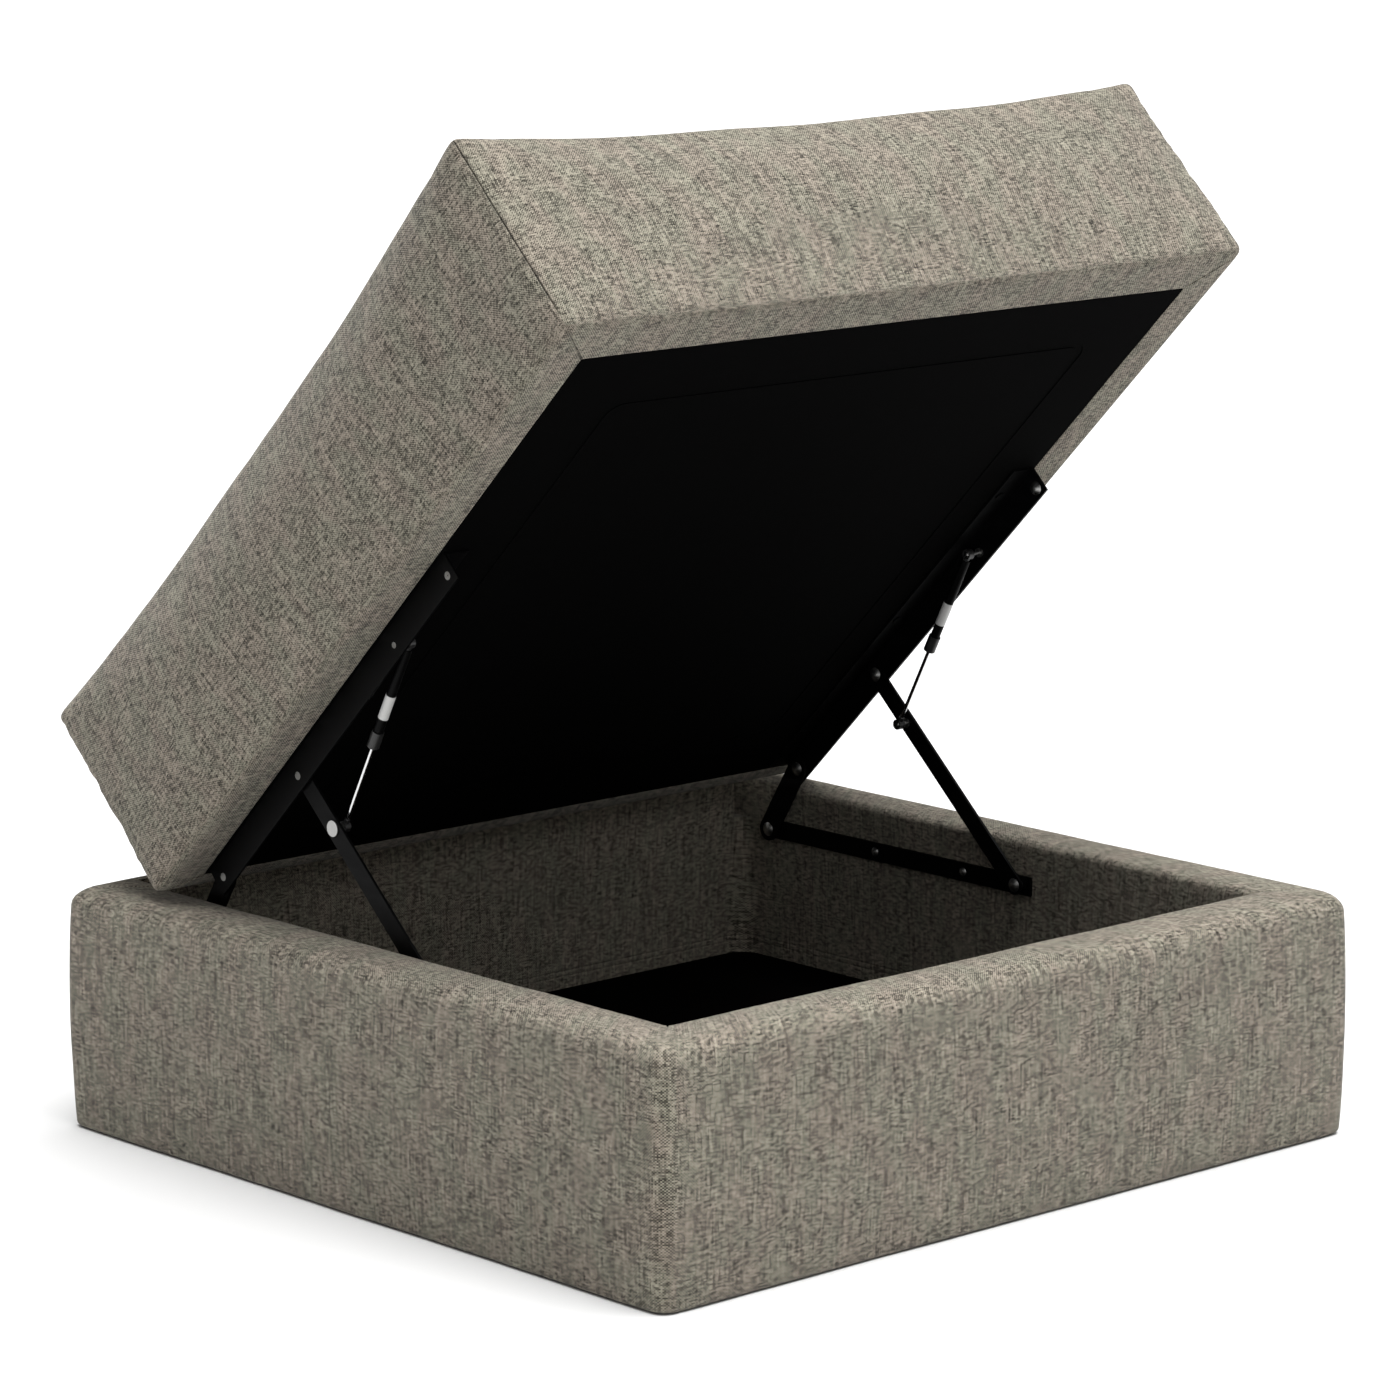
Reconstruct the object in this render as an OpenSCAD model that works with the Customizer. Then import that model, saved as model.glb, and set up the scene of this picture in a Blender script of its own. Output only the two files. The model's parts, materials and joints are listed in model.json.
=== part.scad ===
// Storage ottoman with a padded lid on a folding-link mechanism, held open by gas springs.
// X is the width, -Y the front, +Y the hinge side and Z up. The origin is on the floor under the middle.
// The lid is drawn open. Sizes along the open lid are measured from its rear bottom edge.

/* [Base] */
// Width of the base over its upholstery
base_w = 915; // [895:5:935]
// Depth of the base over its upholstery
base_d = 880; // [870:5:890]
// Height of the top of the padded walls above the floor
base_top = 248; // [244:1:248]
// Thickness of the padded front and side walls
wall_t = 62; // [60:0.5:66]
// Thickness of the padded rear wall
rear_wall_t = 70; // [66:0.5:72]
// Height of the storage floor above the ground
floor_top = 55; // [50:1:70]
// Height of the glides under the base
glide_h = 5; // [3:1:8]
// Thickness of the boards inside the walls
board_t = 22; // [18:1:24]
// Thickness of padding outside the boards
outer_pad_t = 25; // [20:1:28]
// Radius of the upright corners of the base
base_corner_r = 22; // [14:1:30]
// Radius of the top edges of the padded walls
wall_edge_r = 16; // [8:1:20]

/* [Lid] */
// Width of the lid
lid_w = 888; // [870:2:894]
// Depth of the lid, from its rear face to its front face
lid_d = 874; // [860:2:876]
// Thickness of the lid
lid_t = 223; // [180:1:240]
// Thickness of the padded cover round the frame and foam
cover_t = 12; // [8:1:16]
// Radius of the lid's padded edges
lid_edge_r = 22; // [14:1:30]
// Width of cover folded under the lid at its front and sides
cover_fold = 47; // [40:1:52]
// Width of cover folded under the lid at its rear
cover_fold_rear = 22; // [18:1:30]
// Distance from the liner's front and side edges to its stitched channel
channel_inset = 78; // [60:1:90]

/* [Opening] */
// Angle of the open lid above level
open_angle = 45; // [45:1:45]
// Depth position of the rear bottom edge of the open lid
open_edge_y = 317; // [316:0.5:318]
// Height of the rear bottom edge of the open lid
open_edge_z = 257.5; // [257:0.5:259]
// Depth position of the rear bottom edge of the shut lid
shut_edge_y = 441; // [440:0.5:442]
// Gap between the shut lid and the padded walls
shut_gap = 3; // [3:0.5:5]

/* [Linkage] */
// Height of the pivots on the base rails
base_pivot_z = 200; // [199:0.5:201]
// Distance of the link pivots and spring studs below the underside of the lid
pivot_drop = 17; // [16:0.5:18]
// Distance along the lid to the rear link's pivot
rear_pivot_s = 40; // [39:0.5:41]
// Distance along the lid to the front link's pivot
front_pivot_s = 210; // [209:0.5:211]
// Distance along the lid to the gas spring's stud
spring_stud_s = 420; // [416:1:422]
// Distance from the lid pivot down the front link to the gas spring's lower stud
spring_foot = 66; // [64:1:68]
// Width of a front link
front_link_w = 20; // [16:1:22]
// Width of a rear link
rear_link_w = 25; // [20:1:26]
// Thickness of the links
link_t = 3; // [2.5:0.5:3]

/* [Hidden] */
$fn = 64;

// Clearance between soft parts and their neighbours, and running clearance in a pivot
soft_gap = 0.2;
run_gap = 0.05;
open_gap = 0.3;

// Inside of the walls
bin_x = base_w / 2 - wall_t;
bin_front = base_d / 2 - wall_t;
bin_rear = base_d / 2 - rear_wall_t;
board_x = base_w / 2 - outer_pad_t;
board_y = base_d / 2 - outer_pad_t;
board_in_x = board_x - board_t;
board_in_y = board_y - board_t;
dust_t = 1.5;
board_bottom = glide_h + dust_t + soft_gap;
board_top = base_top - 14;
floor_t = 9;
floor_bottom = floor_top - floor_t;
floor_x = board_in_x - soft_gap;
floor_y = board_in_y - soft_gap;
batten_w = 25;
beam_w = 64;
glide_r = 16;
glide_inset = 30;

// Slots in the rear wall that the ends of the lid rails and rear links drop into
slot_in = bin_x - 14;
slot_out = bin_x + 0.5;
slot_bottom = 206;

// Inside of the lid, in the lid's own frame: X, -Y along the lid from the rear edge, Z out of its top
frame_x = lid_w / 2 - cover_t - soft_gap;
frame_rear = cover_t + soft_gap;
frame_front = lid_d - cover_t - soft_gap;
liner_t = 2;
liner_x = lid_w / 2 - cover_fold;
liner_rear = cover_fold_rear;
liner_front = lid_d - cover_fold - 3;
fold_t = 2.5;
timber_bottom = fold_t + soft_gap;
timber_w = 75;
timber_h = 40;
cross_w = 60;
deck_bottom = timber_bottom + timber_h;
deck_t = 12;
foam_bottom = deck_bottom + deck_t + soft_gap;
channel_w = 8;
channel_depth = 0.8;
channel_r = 26;

// Layers of the right-hand mechanism, as X positions counted inwards from the wall
base_rail_out = bin_x - 0.3;
base_rail_t = 3;
base_rail_in = base_rail_out - base_rail_t;
lid_rail_out = bin_x - 2;
lid_rail_t = 2.5;
lid_rail_in = lid_rail_out - lid_rail_t;
link_in = bin_x - 9.3;
link_out = link_in + link_t;
spring_x = bin_x - 21;

// Pivot places as [depth, height]: open and shut places of the two lid pivots, then the base pivots,
// each on the line of equal distance from both places of its lid pivot
shut_edge_z = base_top + shut_gap;
sin_open = sin(open_angle);
cos_open = cos(open_angle);
function open_place(s, n) = [
    open_edge_y - s * cos_open + n * sin_open,
    open_edge_z + s * sin_open + n * cos_open
];
function shut_place(s, n) = [shut_edge_y - s, shut_edge_z + n];
function base_pivot_y(a, b) =
    (a[0] + b[0]) / 2 - (base_pivot_z - (a[1] + b[1]) / 2) * (b[1] - a[1]) / (b[0] - a[0]);
function heading(a, b) = atan2(b[1] - a[1], b[0] - a[0]);

rear_lid_pivot = open_place(rear_pivot_s, -pivot_drop);
front_lid_pivot = open_place(front_pivot_s, -pivot_drop);
rear_base_pivot = [
    base_pivot_y(rear_lid_pivot, shut_place(rear_pivot_s, -pivot_drop)),
    base_pivot_z
];
front_base_pivot = [
    base_pivot_y(front_lid_pivot, shut_place(front_pivot_s, -pivot_drop)),
    base_pivot_z
];
front_link_angle = heading(front_base_pivot, front_lid_pivot);
rear_link_angle = heading(rear_base_pivot, rear_lid_pivot);
rear_link_len = norm(rear_lid_pivot - rear_base_pivot);
front_link_len = norm(front_lid_pivot - front_base_pivot);
spring_head = open_place(spring_stud_s, -pivot_drop);
spring_foot_place = front_lid_pivot - spring_foot * [cos(front_link_angle), sin(front_link_angle)];
spring_angle = heading(spring_head, spring_foot_place);
spring_len = norm(spring_foot_place - spring_head);

// Rails, rivets and screws
base_rail_h = 20;
base_rail_front = front_base_pivot[0] - 18;
screw_front_y = rear_base_pivot[0] - 292;
screw_rear_y = rear_base_pivot[0] - 160;
screw_head_r = 5;
screw_head_h = 2.3;
screw_shank_r = 2;
screw_len = 30;
pivot_r = 4;
rivet_head_r = 7.5;
rivet_head_h = 3.2;
washer_r = 8;
foot_rivet_r = 8;
foot_rivet_h = 1.2;
lid_rail_rear_s = 27;
lid_rail_front_s = 541;
lid_rail_drop = 30;
lid_rail_flange = 30;
end_bolt_s = 530;
end_bolt_drop = 19;
rail_screw_s = [90, 290, 500];
rail_screw_x = lid_rail_out - 21;

// Gas spring, along its own axis from the lid stud
ball_r = 3.5;
stud_neck_r = 2;
stud_base_r = 5;
stud_base_t = 2;
stud_tail_r = 3;
socket_r = 5.5;
socket_w = 7;
socket_neck = 9;
tube_r = 5;
tube_bore_r = 4;
tube_start = 7;
tube_end = 119;
tube_wall = 3;
gland_len = 9;
collar_r = 6.2;
collar_len = 15;
collar_lip = 3;
label_start = 61;
label_end = 88;
label_t = 0.2;
rod_r = 2;
piston_len = 5;
piston_end = tube_end - gland_len - 1;

fabric_colour = [0.60, 0.53, 0.46];
lining_colour = [0.10, 0.09, 0.09];
timber_colour = [0.76, 0.62, 0.44];
ply_colour = [0.80, 0.68, 0.50];
foam_colour = [0.93, 0.90, 0.80];
black_steel = [0.06, 0.06, 0.06];
bright_steel = [0.72, 0.72, 0.72];
dark_plastic = [0.08, 0.08, 0.08];
label_colour = [0.85, 0.85, 0.82];

// Box centred on X and Y between two heights
module slab(w, d, low, high) {
    translate([-w / 2, -d / 2, low]) cube([w, d, high - low]);
}

// Rectangle with round corners, from its lower left corner
module round_rect(w, h, r) {
    translate([r, 0]) square([w - 2 * r, h]);
    translate([0, r]) square([w, h - 2 * r]);
    for (x = [r, w - r], y = [r, h - r]) translate([x, y]) circle(r);
}

// Puts a sketch of [depth, height] upright and runs it along X
module upright() {
    rotate([90, 0, 90]) children();
}

module both_sides() {
    children();
    mirror([1, 0, 0]) children();
}

// Places children that are drawn in the lid's own frame on the open lid
module on_open_lid() {
    translate([0, open_edge_y, open_edge_z]) rotate([-open_angle, 0, 0]) children();
}

// Turns a shape along Z so that it points from x outwards, at a [depth, height] place
module pin_at(place, x) {
    translate([x, place[0], place[1]]) rotate([0, 90, 0]) children();
}

// Round bar or washer between two X positions
module pin_between(place, low, high, r) {
    pin_at(place, low) cylinder(h = high - low, r = r);
}

// Low dome that bulges towards -X, its flat face at x
module dome_head(place, x, r, h) {
    dome_r = (r * r + h * h) / (2 * h);
    pin_at(place, x) mirror([0, 0, 1]) rotate_extrude() intersection() {
        translate([0, h - dome_r]) circle(dome_r);
        square([r, h]);
    }
}

// Section of a padded wall as [distance in from the outer face, height]
module wall_section(t) {
    intersection() {
        translate([0, -wall_edge_r]) round_rect(t, base_top + wall_edge_r, wall_edge_r);
        translate([0, glide_h]) square([t, base_top]);
    }
}

// Room for the boards and posts inside the pads, and for the floor, where the lining stops
module frame_room() {
    difference() {
        slab(2 * (board_x + soft_gap), 2 * (board_y + soft_gap), 0, board_top + soft_gap);
        slab(2 * (board_in_x - soft_gap), 2 * (board_in_y - soft_gap), floor_top + soft_gap, base_top);
    }
}

// Room for the lid rails and rear links in the rear wall when the lid is shut
module rail_slots() {
    both_sides() translate([slot_in, 0, slot_bottom])
        cube([slot_out - slot_in, board_y + soft_gap, base_top]);
}

// Holes for the base rails' screws, through the inner padding and into the side boards
module rail_screw_holes() {
    both_sides() for (y = [screw_front_y, screw_rear_y])
        pin_between([y, base_pivot_z], bin_x - 1, base_rail_in + screw_len + 1, screw_shank_r + run_gap);
}

// Wall across the whole width, on the -Y side, with its inner face t from its outer face
module end_wall_pad(t) {
    color(fabric_colour) difference() {
        intersection() {
            translate([-base_w / 2, -base_d / 2, 0]) upright() linear_extrude(base_w) wall_section(t);
            translate([-base_w / 2, -base_d / 2, 0]) linear_extrude(base_top)
                round_rect(base_w, base_d, base_corner_r);
        }
        frame_room();
    }
}

module front_wall_pad() {
    end_wall_pad(wall_t);
}

module rear_wall_pad() {
    difference() {
        mirror([0, 1, 0]) end_wall_pad(rear_wall_t);
        rail_slots();
    }
}

module left_wall_pad() {
    side_len = bin_front + bin_rear - 2 * soft_gap;
    color(fabric_colour) difference() {
        translate([-base_w / 2, bin_rear - soft_gap, 0]) rotate([90, 0, 0]) linear_extrude(side_len)
            wall_section(wall_t);
        frame_room();
        rail_screw_holes();
    }
}

module right_wall_pad() {
    mirror([1, 0, 0]) left_wall_pad();
}

module front_wall_board() {
    color(timber_colour) translate([-board_in_x, -board_y, board_bottom])
        cube([2 * board_in_x, board_t, board_top - board_bottom]);
}

module rear_wall_board() {
    difference() {
        mirror([0, 1, 0]) front_wall_board();
        rail_slots();
    }
}

module left_wall_board() {
    color(timber_colour) difference() {
        translate([-board_x, -board_in_y, board_bottom])
            cube([board_t, 2 * board_in_y, board_top - board_bottom]);
        rail_screw_holes();
    }
}

module right_wall_board() {
    mirror([1, 0, 0]) left_wall_board();
}

module corner_posts() {
    for (x = [-board_x, board_in_x], y = [-board_y, board_in_y])
        color(timber_colour) translate([x, y, board_bottom])
            cube([board_t, board_t, board_top - board_bottom]);
}

module storage_floor() {
    color(lining_colour) slab(2 * floor_x, 2 * floor_y, floor_bottom, floor_top);
}

module floor_battens() {
    batten_h = floor_bottom - board_bottom;
    color(timber_colour) {
        both_sides() translate([floor_x - batten_w, -floor_y, board_bottom])
            cube([batten_w, 2 * floor_y, batten_h]);
        for (y = [-floor_y, floor_y - batten_w])
            translate([-floor_x + batten_w + soft_gap, y, board_bottom])
                cube([2 * (floor_x - batten_w - soft_gap), batten_w, batten_h]);
    }
}

module centre_beam() {
    color(timber_colour) slab(beam_w, 2 * (floor_y - batten_w), board_bottom, floor_bottom);
}

module dust_cover() {
    color(lining_colour) slab(2 * board_x, 2 * board_y, glide_h, glide_h + dust_t);
}

module floor_glides() {
    corner_x = board_x - glide_inset;
    corner_y = board_y - glide_inset;
    color(dark_plastic) {
        cylinder(h = glide_h, r = glide_r);
        for (x = [-corner_x, corner_x], y = [-corner_y, corner_y])
            translate([x, y, 0]) cylinder(h = glide_h, r = glide_r);
    }
}

module right_base_rail() {
    rail_r = base_rail_h / 2;
    color(black_steel) difference() {
        translate([base_rail_in, 0, base_pivot_z]) upright() linear_extrude(base_rail_t) {
            translate([base_rail_front, -rail_r]) square([rear_base_pivot[0] - base_rail_front, base_rail_h]);
            translate([rear_base_pivot[0], 0]) circle(rail_r);
        }
        pin_between(rear_base_pivot, base_rail_in - 1, base_rail_out + 1, pivot_r + run_gap);
        for (y = [screw_front_y, screw_rear_y])
            pin_between([y, base_pivot_z], base_rail_in - 1, base_rail_out + 1, screw_shank_r + run_gap);
    }
}

module left_base_rail() {
    mirror([1, 0, 0]) right_base_rail();
}

// Cross-head screw whose flat under-face is at x and whose shank runs outwards
module cross_screw(place, x) {
    slot_w = 1;
    slot_l = 5;
    slot_h = 1.1;
    color(bright_steel) difference() {
        union() {
            dome_head(place, x, screw_head_r, screw_head_h);
            pin_between(place, x, x + screw_len, screw_shank_r);
        }
        translate([x - screw_head_h - 1, place[0], place[1]]) {
            translate([0, -slot_w / 2, -slot_l / 2]) cube([slot_h + 1, slot_w, slot_l]);
            translate([0, -slot_l / 2, -slot_w / 2]) cube([slot_h + 1, slot_l, slot_w]);
        }
    }
}

module base_rail_screws() {
    both_sides() for (y = [screw_front_y, screw_rear_y]) cross_screw([y, base_pivot_z], base_rail_in);
}

// Rivet with a dome head on the inner face of a link and a shank that ends at x = high
module link_rivet(place, high) {
    color(bright_steel) {
        dome_head(place, link_in - run_gap, rivet_head_r, rivet_head_h);
        pin_between(place, link_in - run_gap, high, pivot_r);
    }
}

// Spacer round a pivot between a rail and a link
module pivot_washer(place, low, high) {
    color(black_steel) difference() {
        pin_between(place, low, high, washer_r);
        pin_between(place, low - 1, high + 1, pivot_r + run_gap);
    }
}

module rear_link_base_rivets() {
    both_sides() link_rivet(rear_base_pivot, base_rail_out);
}

module rear_link_base_washers() {
    both_sides() pivot_washer(rear_base_pivot, link_out + run_gap, base_rail_in);
}

// Flat bar with round ends between two holes, from a [depth, height] place along an angle
module link_bar(place, angle, len, w) {
    color(black_steel) translate([link_in, place[0], place[1]]) upright() linear_extrude(link_t) rotate(angle)
        difference() {
            union() {
                translate([0, -w / 2]) square([len, w]);
                for (x = [0, len]) translate([x, 0]) circle(w / 2);
            }
            for (x = [0, len]) translate([x, 0]) circle(pivot_r + run_gap);
        }
}

module right_rear_link() {
    link_bar(rear_base_pivot, rear_link_angle, rear_link_len, rear_link_w);
}

module left_rear_link() {
    mirror([1, 0, 0]) right_rear_link();
}

module right_front_link() {
    difference() {
        link_bar(front_base_pivot, front_link_angle, front_link_len, front_link_w);
        pin_between(spring_foot_place, link_in - 1, link_out + 1, stud_tail_r + run_gap);
    }
}

module left_front_link() {
    mirror([1, 0, 0]) right_front_link();
}

// This pivot is left open: its shouldered rivet rides in the link and stops short of the rail
module front_link_base_rivets() {
    both_sides() color(bright_steel) {
        dome_head(front_base_pivot, link_in, rivet_head_r, rivet_head_h);
        pin_between(front_base_pivot, link_in, link_out, pivot_r);
        pin_between(front_base_pivot, link_out, base_rail_in - open_gap, rivet_head_r);
    }
}

// Broad flat rivets through the front links, on which the gas springs stand
module spring_foot_rivets() {
    both_sides() color(bright_steel) {
        pin_between(spring_foot_place, link_in, link_out, stud_tail_r);
        pin_between(spring_foot_place, link_out, link_out + foot_rivet_h, foot_rivet_r);
    }
}

// Bar of the lid's frame between two X positions and two distances along the lid
module lid_bar(x_low, x_high, s_low, s_high, low, high) {
    on_open_lid() translate([x_low, -s_high, low]) cube([x_high - x_low, s_high - s_low, high - low]);
}

module lid_front_timber() {
    color(timber_colour)
        lid_bar(-frame_x, frame_x, frame_front - timber_w, frame_front, timber_bottom, deck_bottom);
}

module lid_rear_timber() {
    color(timber_colour)
        lid_bar(-frame_x, frame_x, frame_rear, frame_rear + timber_w, timber_bottom, deck_bottom);
}

module lid_right_timber() {
    inner_rear = frame_rear + timber_w;
    inner_front = frame_front - timber_w;
    color(timber_colour)
        lid_bar(frame_x - timber_w, frame_x, inner_rear, inner_front, timber_bottom, deck_bottom);
}

module lid_left_timber() {
    mirror([1, 0, 0]) lid_right_timber();
}

module lid_cross_timber() {
    inner_rear = frame_rear + timber_w;
    inner_front = frame_front - timber_w;
    color(timber_colour)
        lid_bar(-cross_w / 2, cross_w / 2, inner_rear, inner_front, timber_bottom, deck_bottom);
}

module lid_deck() {
    color(ply_colour) lid_bar(-frame_x, frame_x, frame_rear, frame_front, deck_bottom, deck_bottom + deck_t);
}

module lid_foam() {
    color(foam_colour)
        lid_bar(-frame_x, frame_x, frame_rear, frame_front, foam_bottom, lid_t - cover_t - soft_gap);
}

// Outside of the closed cover: a block whose edges are rounded in all three directions
module lid_block() {
    intersection() {
        translate([-lid_w / 2, -lid_d, 0]) linear_extrude(lid_t) round_rect(lid_w, lid_d, lid_edge_r);
        translate([-lid_w / 2, 0, 0]) rotate([90, 0, 0]) linear_extrude(lid_d)
            round_rect(lid_w, lid_t, lid_edge_r);
        translate([-lid_w / 2, -lid_d, 0]) upright() linear_extrude(lid_w)
            round_rect(lid_d, lid_t, lid_edge_r);
    }
}

module lid_cover() {
    color(fabric_colour) on_open_lid() difference() {
        lid_block();
        translate([-lid_w / 2 + cover_t, -lid_d + cover_t, fold_t])
            cube([lid_w - 2 * cover_t, lid_d - 2 * cover_t, lid_t - cover_t - fold_t]);
        translate([-liner_x - soft_gap, -liner_front - soft_gap, -1])
            cube([2 * (liner_x + soft_gap), liner_front - liner_rear + 2 * soft_gap, fold_t + 2]);
    }
}

module lid_liner() {
    channel_x = liner_x - channel_inset;
    channel_rear = liner_rear + channel_inset;
    channel_front = liner_front - channel_inset + channel_w;
    channel_len = channel_front - channel_rear;
    color(lining_colour) on_open_lid() difference() {
        translate([-liner_x, -liner_front, 0]) cube([2 * liner_x, liner_front - liner_rear, liner_t]);
        translate([0, -channel_front, -channel_depth]) linear_extrude(2 * channel_depth) difference() {
            translate([-channel_x, 0]) round_rect(2 * channel_x, channel_len, channel_r);
            translate([channel_w - channel_x, channel_w])
                round_rect(2 * (channel_x - channel_w), channel_len - 2 * channel_w, channel_r - channel_w);
        }
    }
}

// Angle rail: one leg hangs down beside the wall and the other lies on the underside of the lid
module right_lid_rail() {
    color(black_steel) difference() {
        union() {
            lid_bar(lid_rail_in, lid_rail_out, lid_rail_rear_s, lid_rail_front_s, -lid_rail_drop, 0);
            lid_bar(
                lid_rail_out - lid_rail_flange, lid_rail_out, lid_rail_rear_s, lid_rail_front_s,
                -lid_rail_t, 0
            );
        }
        for (s = [rear_pivot_s, front_pivot_s])
            pin_between(open_place(s, -pivot_drop), lid_rail_in - 1, lid_rail_out + 1, pivot_r + run_gap);
        pin_between(spring_head, lid_rail_in - 1, lid_rail_out + 1, stud_tail_r + run_gap);
        pin_between(
            open_place(end_bolt_s, -end_bolt_drop), lid_rail_in - 1, lid_rail_out + 1, pivot_r + run_gap
        );
        for (s = rail_screw_s)
            on_open_lid() translate([rail_screw_x, -s, -lid_rail_t - 1])
                cylinder(h = lid_rail_t + 2, r = screw_shank_r + run_gap);
    }
}

module left_lid_rail() {
    mirror([1, 0, 0]) right_lid_rail();
}

// Wood screws up through the flat legs of the lid rails, their shanks ending in the side timbers' face
module lid_rail_screws() {
    cap_h = 1.6;
    both_sides() for (s = rail_screw_s)
        color(black_steel) on_open_lid() translate([rail_screw_x, -s, 0]) {
            translate([0, 0, -lid_rail_t]) cylinder(h = lid_rail_t, r = screw_shank_r);
            translate([0, 0, -lid_rail_t - cap_h]) cylinder(h = cap_h, r = screw_head_r);
        }
}

module lid_rail_end_bolts() {
    bolt_place = open_place(end_bolt_s, -end_bolt_drop);
    both_sides() color(bright_steel) {
        dome_head(bolt_place, lid_rail_in, rivet_head_r, rivet_head_h);
        pin_between(bolt_place, lid_rail_in, lid_rail_out, pivot_r);
    }
}

module rear_link_lid_rivets() {
    both_sides() link_rivet(rear_lid_pivot, lid_rail_out);
}

module front_link_lid_rivets() {
    both_sides() link_rivet(front_lid_pivot, lid_rail_out);
}

module lid_pivot_washers() {
    both_sides() for (place = [rear_lid_pivot, front_lid_pivot])
        pivot_washer(place, link_out + run_gap, lid_rail_in);
}

// Ball stud that reaches in from x = base_x to the plane of the gas springs, with a tail that fills
// its hole out to x = tail_x
module ball_stud(place, base_x, base_t, tail_x) {
    neck_end = base_x - base_t - spring_x;
    pin_at(place, spring_x) rotate_extrude() {
        intersection() {
            circle(ball_r);
            translate([0, -ball_r]) square([ball_r, 2 * ball_r]);
        }
        square([stud_neck_r, neck_end]);
        translate([0, neck_end]) square([stud_base_r, base_t]);
        translate([0, neck_end]) square([stud_tail_r, tail_x - spring_x - neck_end]);
    }
}

module gas_spring_lid_studs() {
    both_sides() color(bright_steel) ball_stud(spring_head, lid_rail_in, stud_base_t, lid_rail_out);
}

// Draws children, made along Z, along the gas spring's axis from its lid stud
module on_spring_axis() {
    translate([spring_x, spring_head[0], spring_head[1]]) rotate([spring_angle - 90, 0, 0]) children();
}

// Eye that closes round a ball, with a round neck that runs to a distance along Z
module ball_eye(neck_len, neck_r) {
    difference() {
        union() {
            rotate([0, 90, 0]) cylinder(h = socket_w, r = socket_r, center = true);
            cylinder(h = neck_len, r = neck_r);
        }
        rotate([0, 90, 0]) cylinder(h = 2 * socket_w, r = ball_r + run_gap, center = true);
    }
}

module right_gas_cylinder() {
    bore_start = tube_start + tube_wall;
    color(black_steel) on_spring_axis() difference() {
        translate([0, 0, tube_start]) cylinder(h = tube_end - tube_start, r = tube_r);
        translate([0, 0, bore_start]) cylinder(h = tube_end - bore_start + 1, r = tube_bore_r);
    }
}

module left_gas_cylinder() {
    mirror([1, 0, 0]) right_gas_cylinder();
}

module gas_cylinder_sockets() {
    both_sides() color(dark_plastic) on_spring_axis() ball_eye(tube_start, socket_w / 2);
}

// Gland that guides the rod, with a cap over the mouth of the tube and a skirt round its end
module gas_cylinder_collars() {
    both_sides() color(dark_plastic) on_spring_axis() difference() {
        union() {
            translate([0, 0, tube_end - gland_len]) cylinder(h = gland_len, r = tube_bore_r);
            translate([0, 0, tube_end]) cylinder(h = collar_lip, r = collar_r);
            difference() {
                translate([0, 0, tube_end - collar_len]) cylinder(h = collar_len, r = collar_r);
                translate([0, 0, tube_end - collar_len - 1]) cylinder(h = collar_len + 1, r = tube_r);
            }
        }
        translate([0, 0, tube_end - gland_len - 1])
            cylinder(h = gland_len + collar_lip + 2, r = rod_r + run_gap);
    }
}

module gas_cylinder_labels() {
    both_sides() color(label_colour) on_spring_axis() difference() {
        translate([0, 0, label_start]) cylinder(h = label_end - label_start, r = tube_r + label_t);
        translate([0, 0, label_start - 1]) cylinder(h = label_end - label_start + 2, r = tube_r);
    }
}

module right_gas_rod() {
    color(bright_steel) on_spring_axis() translate([0, 0, piston_end])
        cylinder(h = spring_len - socket_neck - piston_end, r = rod_r);
}

module left_gas_rod() {
    mirror([1, 0, 0]) right_gas_rod();
}

module gas_rod_pistons() {
    both_sides() color(dark_plastic) on_spring_axis() translate([0, 0, piston_end - piston_len])
        cylinder(h = piston_len, r = tube_bore_r - run_gap);
}

module gas_rod_sockets() {
    both_sides() color(dark_plastic) on_spring_axis() translate([0, 0, spring_len]) rotate([180, 0, 0])
        ball_eye(socket_neck, rod_r + 1);
}

// These studs are left open too: each rides on its rod and stops short of the front link
module gas_rod_studs() {
    both_sides() color(bright_steel)
        ball_stud(spring_foot_place, link_in - open_gap, stud_base_t, link_in - open_gap);
}

front_wall_board();
rear_wall_board();
left_wall_board();
right_wall_board();
corner_posts();
front_wall_pad();
rear_wall_pad();
left_wall_pad();
right_wall_pad();
storage_floor();
floor_battens();
centre_beam();
dust_cover();
floor_glides();
left_base_rail();
right_base_rail();
base_rail_screws();
rear_link_base_rivets();
rear_link_base_washers();
left_rear_link();
right_rear_link();
left_front_link();
right_front_link();
front_link_base_rivets();
spring_foot_rivets();
lid_front_timber();
lid_rear_timber();
lid_left_timber();
lid_right_timber();
lid_cross_timber();
lid_deck();
lid_foam();
lid_cover();
lid_liner();
left_lid_rail();
right_lid_rail();
lid_rail_screws();
lid_rail_end_bolts();
rear_link_lid_rivets();
front_link_lid_rivets();
lid_pivot_washers();
gas_spring_lid_studs();
left_gas_cylinder();
right_gas_cylinder();
gas_cylinder_sockets();
gas_cylinder_collars();
gas_cylinder_labels();
left_gas_rod();
right_gas_rod();
gas_rod_pistons();
gas_rod_sockets();
gas_rod_studs();
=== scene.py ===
import json
from math import cos, pi, radians, sin

import bmesh
import bpy
import numpy as np
from mathutils import Matrix, Vector, noise


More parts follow.
